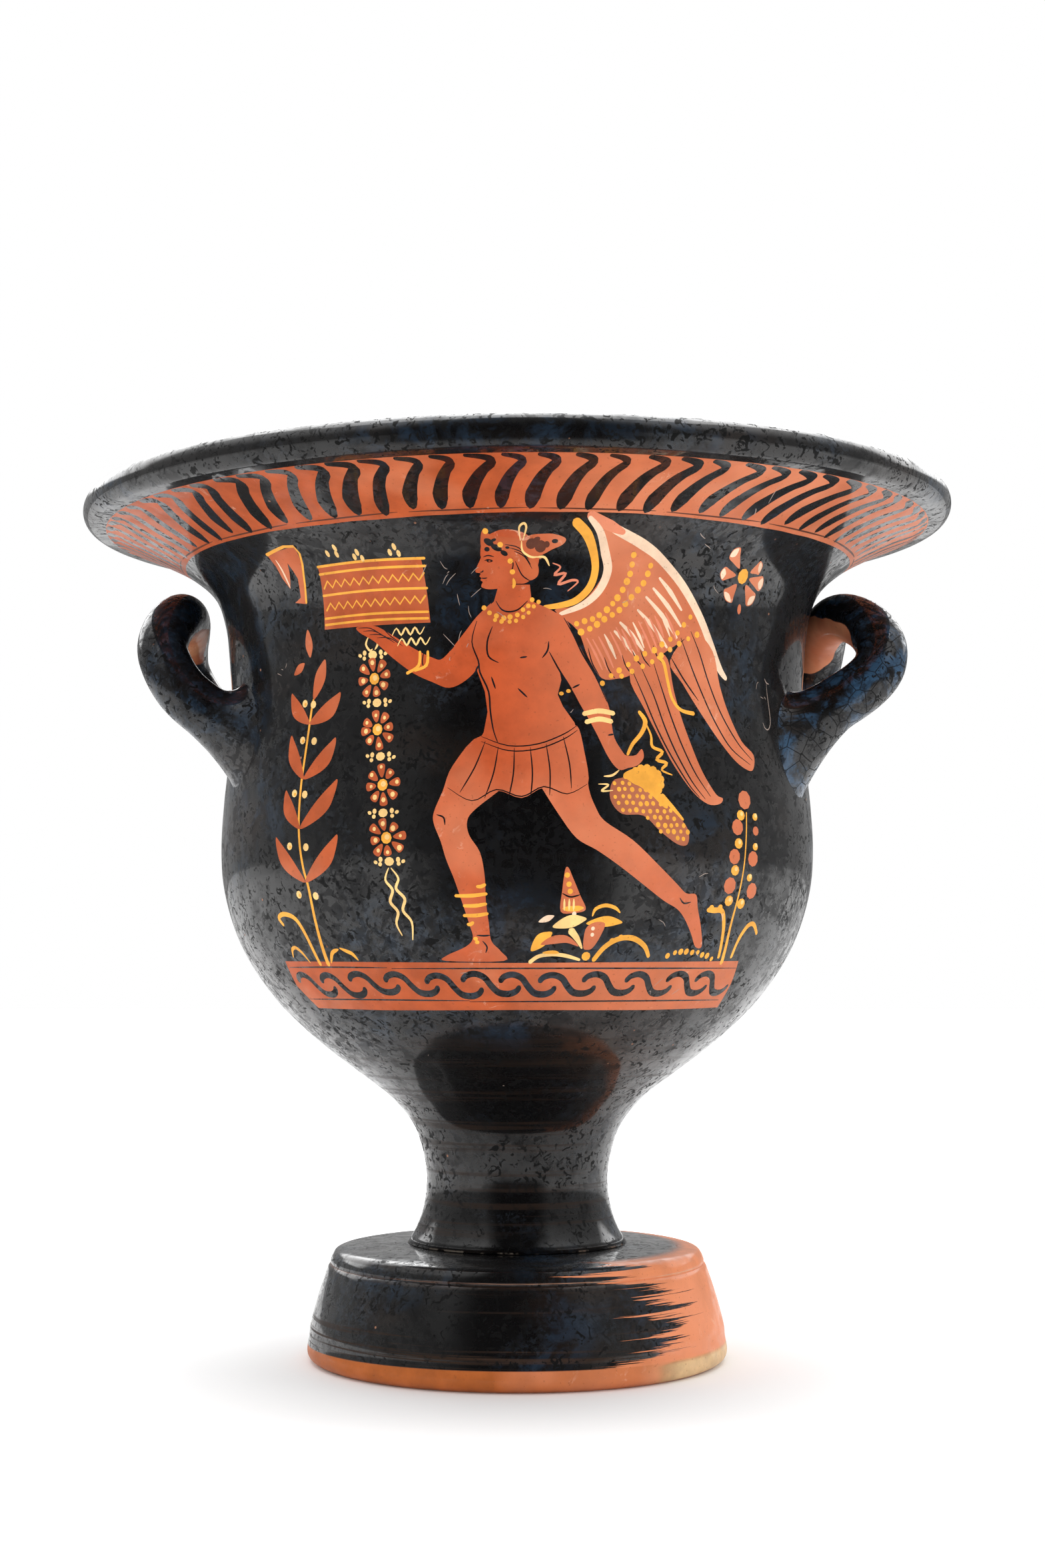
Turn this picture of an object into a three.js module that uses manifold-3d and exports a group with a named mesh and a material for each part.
// A bell krater: a wheel-thrown clay mixing bowl on a stemmed foot, with two upturned loop handles.
//
// Frame: millimetres, +Z up along the axis of the wheel, origin at the centre of the resting ring.
// The painted front faces -Y and the handles stand out along -X (left) and +X (right).
//
// The potter makes four pieces and lutes them together with slip before firing:
//   body          bowl, neck and rim thrown in one, drawn down into the stem
//   foot          a thick spreading foot, hollow underneath, that the stem stands on
//   handle_left   a rolled bar bent into a loop, its ends spread on to the wall
//   handle_right  the same, sprung a little out of true
import * as THREE from "three";
import { mergeVertices } from "three/addons/utils/BufferGeometryUtils.js";
import Module from "manifold-3d";

const { degToRad, lerp, smoothstep } = THREE.MathUtils;

// Driving dimensions
const RIM_RADIUS = 165; // outside of the lip
const LIP = { depth: 5.3, rise: 5.9, middle: 322.7 }; // half sizes of its bead, and its middle's height
const NECK_RADIUS = 109.2; // the bell's narrowest girth
const BELLY_RADIUS = 113.3;
const STEM_RADIUS = 34.9;
const FOOT = { rest: 76.6, widest: 80.7, brim: 68.9, height: 42.7, seat: 44.6 };
const SEAT_RADIUS = 42.1; // where the stem stands on the foot
const JOINT_GAP = 0.3; // between luted pieces
const LINE = { height: 37.2, depth: 0.7, half: 0.7 }; // the line scribed round the foot
const LEAN = { angle: degToRad(0.57), from: 240, to: 310 }; // the rim sank a little to the left as it dried

const HANDLE = {
  limb: 10, // radius of the bar where it leaves the wall
  crest: 9.1, // and at the top of the loop
  halfSpan: 39.5, // from the loop's middle to the middle of each limb
  straight: 17, // run of each limb before the loop turns over
  root: { across: 41, height: 236.5, halfWidth: 18, halfHeight: 23 }, // the clay spread on the wall
};
// The right one was pressed on a little low and sprang out of true: its near limb swings out, its far limb in.
const LEFT = { azimuth: 180, reach: 0, twist: 0, sag: 1 };
const RIGHT = { azimuth: 0, reach: -4.8, twist: 0.26, sag: 5 };

// How finely the faceted solids are cut
const WHEEL_STEPS = 56;
const BAR_SIDES = 14;
const ARCH_STEPS = 24;
const ROOT_STEPS = 5;

// The wall's outside, as radius and height, from the foot of the stem to the underside of the lip
const OUTSIDE = [
  [SEAT_RADIUS, FOOT.seat + JOINT_GAP],
  [38.9, 50.5],
  [36, 59],
  [STEM_RADIUS, 70],
  [36.6, 81],
  [40.4, 91],
  [48.7, 101],
  [59.6, 109.5],
  [74.6, 121],
  [88.6, 134],
  [100.2, 149],
  [107.6, 163.5],
  [112.2, 180],
  [BELLY_RADIUS, 196],
  [112.2, 213.5],
  [110.4, 230],
  [NECK_RADIUS, 249],
  [110.1, 267],
  [111.6, 281],
  [116, 293],
  [127, 302.8],
  [141.9, 310.6],
  [156.4, 316.6],
];
// The wall's inside, from the lip down to the floor of the bowl
const INSIDE = [
  [152, 326.4],
  [137.5, 318.6],
  [121, 308.4],
  [108.6, 295.5],
  [103.4, 279],
  [101.9, 256],
  [103.6, 229],
  [105.5, 201],
  [103.6, 179],
  [96.6, 159],
  [84.2, 141],
  [67, 125.5],
  [45.5, 113],
  [22, 106],
  [0, 104.3],
];
// The hollow under the foot, which runs on up into the stem
const FOOT_HOLLOW = [
  [66.5, 0],
  [60.5, 5],
  [48, 15.5],
  [35, 27],
  [25.5, 37],
  [21, FOOT.seat],
];
const STEM_HOLLOW = [
  [0, 86],
  [9.5, 80.5],
  [14.5, 68],
  [18, 55],
  [21, FOOT.seat + JOINT_GAP],
];

const profileOf = (pairs) => pairs.map(([r, z]) => new THREE.Vector2(r, z));

// The bead of the lip, from its underside round the outside to its crown
function lipBead() {
  const steps = 7;
  const bead = [];
  for (let i = 0; i <= steps; i++) {
    const a = lerp(-0.42, 0.62, i / steps) * Math.PI;
    const r = RIM_RADIUS - LIP.depth + LIP.depth * Math.cos(a);
    bead.push(new THREE.Vector2(r, LIP.middle + LIP.rise * Math.sin(a)));
  }
  return bead;
}

// Raises the high parts of a piece on the right and drops them on the left
function lean(geometry) {
  const position = geometry.getAttribute("position");
  for (let i = 0; i < position.count; i++) {
    const share = smoothstep(position.getZ(i), LEAN.from, LEAN.to);
    position.setZ(i, position.getZ(i) + share * Math.tan(LEAN.angle) * position.getX(i));
  }
  return geometry;
}

// Turns a profile that runs up the outside and down the inside about the wheel's axis
function thrown(profile) {
  return new THREE.LatheGeometry(profile, WHEEL_STEPS).rotateX(Math.PI / 2);
}

function bodyGeometry() {
  const profile = [...profileOf(STEM_HOLLOW), ...profileOf(OUTSIDE), ...lipBead(), ...profileOf(INSIDE)];
  return lean(thrown(profile));
}

function footGeometry() {
  const outside = profileOf([
    [FOOT.rest, 0],
    [79.6, 1.6],
    [FOOT.widest, 4.4],
    [79.2, 15],
    [76.2, 26],
    [72.9, LINE.height - 2 * LINE.half],
    [72.3 - LINE.depth, LINE.height],
    [71.8, LINE.height + 2 * LINE.half],
    [70.9, 40.8],
    [FOOT.brim, FOOT.height],
    [56, FOOT.height + 1.1],
    [SEAT_RADIUS, FOOT.seat],
  ]);
  const hollow = profileOf(FOOT_HOLLOW).reverse();
  return thrown([...outside, ...hollow, outside[0]]);
}

// What the handles are cut back by: the wall filled solid and swelled by the joint's gap
function filledWall() {
  const skin = profileOf(OUTSIDE.map(([r, z]) => [r + JOINT_GAP, z]));
  const [low, high] = [skin[0].y, skin[skin.length - 1].y];
  return lean(thrown([new THREE.Vector2(0, low), ...skin, new THREE.Vector2(0, high)]));
}

// The wall's outside radius at a height
function wallRadius(z) {
  const i = OUTSIDE.findIndex(([, height]) => height > z);
  const [[r0, z0], [r1, z1]] = [OUTSIDE[i - 1], OUTSIDE[i]];
  return lerp(r0, r1, (z - z0) / (z1 - z0));
}

// The curved sheet a loop lies in, as distance from the axis and height, from the wall to the crest
function loopSheet(reach) {
  const stations = [
    [102.5, 238],
    [112.5 + 0.5 * reach, 243.5],
    [124.3 + reach, 253.5],
    [131.6 + reach, 266.5],
    [131.8 + reach, 276],
    [128.2 + reach, 285],
  ];
  return new THREE.SplineCurve(profileOf(stations));
}

// The middle of the bar at one place along the arch of a loop, where 0 and 1 are the arch's two ends.
// The loop's own frame has X out from the axis, Y along the wall and Z up.
function barMiddle(sheet, twist, share) {
  const length = sheet.getLength();
  const a = share * Math.PI;
  const along = HANDLE.straight + (length - HANDLE.straight) * Math.sin(a);
  const across = -HANDLE.halfSpan * Math.cos(a);
  const flat = sheet.getPointAt(along / length);
  const out = -across * twist * smoothstep(along / length, 0.1, 0.6);
  return new THREE.Vector3(flat.x + out, across, flat.y);
}

// A ring of points round the bar there, and the way that the bar runs
function archRing(sheet, twist, share) {
  const nudge = 0.002;
  const centre = barMiddle(sheet, twist, share);
  const way = barMiddle(sheet, twist, share + nudge)
    .sub(barMiddle(sheet, twist, share - nudge))
    .normalize();
  const length = sheet.getLength();
  const rise = Math.sin(share * Math.PI);
  const along = HANDLE.straight + (length - HANDLE.straight) * rise;
  const slope = sheet.getTangentAt(along / length);
  const above = new THREE.Vector3(-slope.y, 0, slope.x).projectOnPlane(way).normalize();
  const beside = new THREE.Vector3().crossVectors(way, above);
  const radius = lerp(HANDLE.limb, HANDLE.crest, rise);
  const points = [];
  for (let j = 0; j < BAR_SIDES; j++) {
    const turn = (j / BAR_SIDES) * 2 * Math.PI;
    points.push(
      centre
        .clone()
        .addScaledVector(above, radius * Math.cos(turn))
        .addScaledVector(beside, radius * Math.sin(turn)),
    );
  }
  return { points, way };
}

// The rings that spread one end of the bar on to the wall, in order from inside the wall to the bar.
// `side` is -1 or 1, `bar` the ring they run into, `way` the bar's run away from the wall, and `sag`
// how far the clay was wiped down.
function rootRings(bar, way, side, sag) {
  const { across, height, halfWidth, halfHeight } = HANDLE.root;
  const buried = 3; // how deep the first ring lies in the wall, to be cut away
  const footprint = bar.map((_, j) => {
    const turn = (j / BAR_SIDES) * 2 * Math.PI;
    const y = side * (across + halfWidth * Math.sin(turn));
    const z = height - sag + halfHeight * Math.cos(turn);
    const wall = wallRadius(z) - buried;
    return new THREE.Vector3(Math.sqrt(wall * wall - y * y), y, z);
  });
  const middle = new THREE.Vector3();
  footprint.forEach((p) => middle.addScaledVector(p, 1 / footprint.length));
  const rings = [];
  for (let k = 0; k < ROOT_STEPS; k++) {
    const w = k / ROOT_STEPS;
    const [w2, w3] = [w * w, w * w * w];
    const ring = bar.map((end, j) => {
      // each line leaves the wall leaning in towards the bar and meets the bar along its length
      const leave = middle.clone().sub(footprint[j]).multiplyScalar(0.8).addScaledVector(way, 8);
      return footprint[j]
        .clone()
        .multiplyScalar(2 * w3 - 3 * w2 + 1)
        .addScaledVector(leave, w3 - 2 * w2 + w)
        .addScaledVector(end, 3 * w2 - 2 * w3)
        .addScaledVector(way, 20 * (w3 - w2));
    });
    rings.push(ring);
  }
  return rings;
}

// One closed skin over a list of rings, each a list of points, with a flat cap at both ends
function skinned(rings) {
  const sides = rings[0].length;
  const index = [];
  for (let i = 0; i + 1 < rings.length; i++) {
    for (let j = 0; j < sides; j++) {
      const [a, b] = [i * sides + j, i * sides + ((j + 1) % sides)];
      index.push(a, b, b + sides, a, b + sides, a + sides);
    }
  }
  const last = (rings.length - 1) * sides;
  for (let j = 1; j + 1 < sides; j++) {
    index.push(0, j + 1, j, last, last + j, last + j + 1);
  }
  const geometry = new THREE.BufferGeometry().setFromPoints(rings.flat());
  geometry.setIndex(index);
  return geometry;
}

// A loop with both ends spread and buried in the wall, turned to its place round the krater
function loopGeometry(place) {
  const sheet = loopSheet(place.reach);
  const arch = [];
  for (let i = 0; i <= ARCH_STEPS; i++) {
    arch.push(archRing(sheet, place.twist, i / ARCH_STEPS));
  }
  const first = arch[0];
  const last = arch[ARCH_STEPS];
  const start = rootRings(first.points, first.way, -1, place.sag);
  // at the far end the bar runs towards the wall, and its ring is met from the other side
  const away = last.way.clone().negate();
  const end = rootRings(last.points, away, 1, place.sag).reverse();
  const rings = [...start, ...arch.map((ring) => ring.points), ...end];
  return skinned(rings).rotateZ(degToRad(place.azimuth));
}

const wasm = await Module();
wasm.setup();

function solidOf(geometry) {
  const bare = geometry.clone();
  bare.deleteAttribute("normal");
  bare.deleteAttribute("uv");
  const merged = mergeVertices(bare, 1e-3);
  return new wasm.Manifold(
    new wasm.Mesh({
      numProp: 3,
      vertProperties: merged.getAttribute("position").array,
      triVerts: new Uint32Array(merged.index.array),
    }),
  );
}

function geometryOf(solid) {
  const mesh = solid.getMesh();
  const geometry = new THREE.BufferGeometry();
  geometry.setAttribute("position", new THREE.BufferAttribute(mesh.vertProperties, 3));
  geometry.setIndex(new THREE.BufferAttribute(mesh.triVerts, 1));
  geometry.computeVertexNormals();
  return geometry;
}

// A handle cut to the wall. Only the loop is kept, not what was buried.
function handleGeometry(place) {
  const cut = solidOf(loopGeometry(place)).subtract(solidOf(filledWall()));
  const loop = cut.decompose().sort((a, b) => b.volume() - a.volume())[0];
  return geometryOf(loop);
}

const gloss = () => new THREE.MeshStandardMaterial({ color: 0x121214, roughness: 0.3, metalness: 0 });

const krater = new THREE.Group();
function add(name, geometry) {
  const mesh = new THREE.Mesh(geometry, gloss());
  mesh.name = name;
  krater.add(mesh);
}
add("body", bodyGeometry());
add("foot", footGeometry());
add("handle_left", handleGeometry(LEFT));
add("handle_right", handleGeometry(RIGHT));

export default krater;
